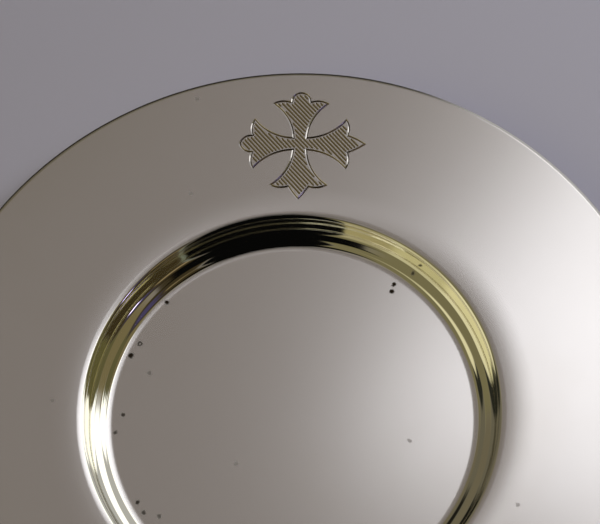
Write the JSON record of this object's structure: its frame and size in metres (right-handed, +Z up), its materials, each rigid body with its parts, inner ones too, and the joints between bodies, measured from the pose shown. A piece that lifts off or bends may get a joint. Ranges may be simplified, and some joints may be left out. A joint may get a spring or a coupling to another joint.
{
  "type": "communion paten",
  "caption": "Round metal communion plate with a wide flat rim, an engraved cross on the rim and a stepped round well.",
  "frame": {"origin": "middle of the flat face under the well's floor, which the plate rests on", "axes": "+Z up through the middle of the well, +Y from the middle towards the engraved cross, +X to its right"},
  "size_m": [0.15, 0.15, 0.0075],
  "materials": {
    "silver": "satin silver on the rim and floor, bright polish on the well's wall and ledge, darkened engraving"
  },
  "bodies": {
    "root": {"paten": "silver"}
  },
  "joints": []
}
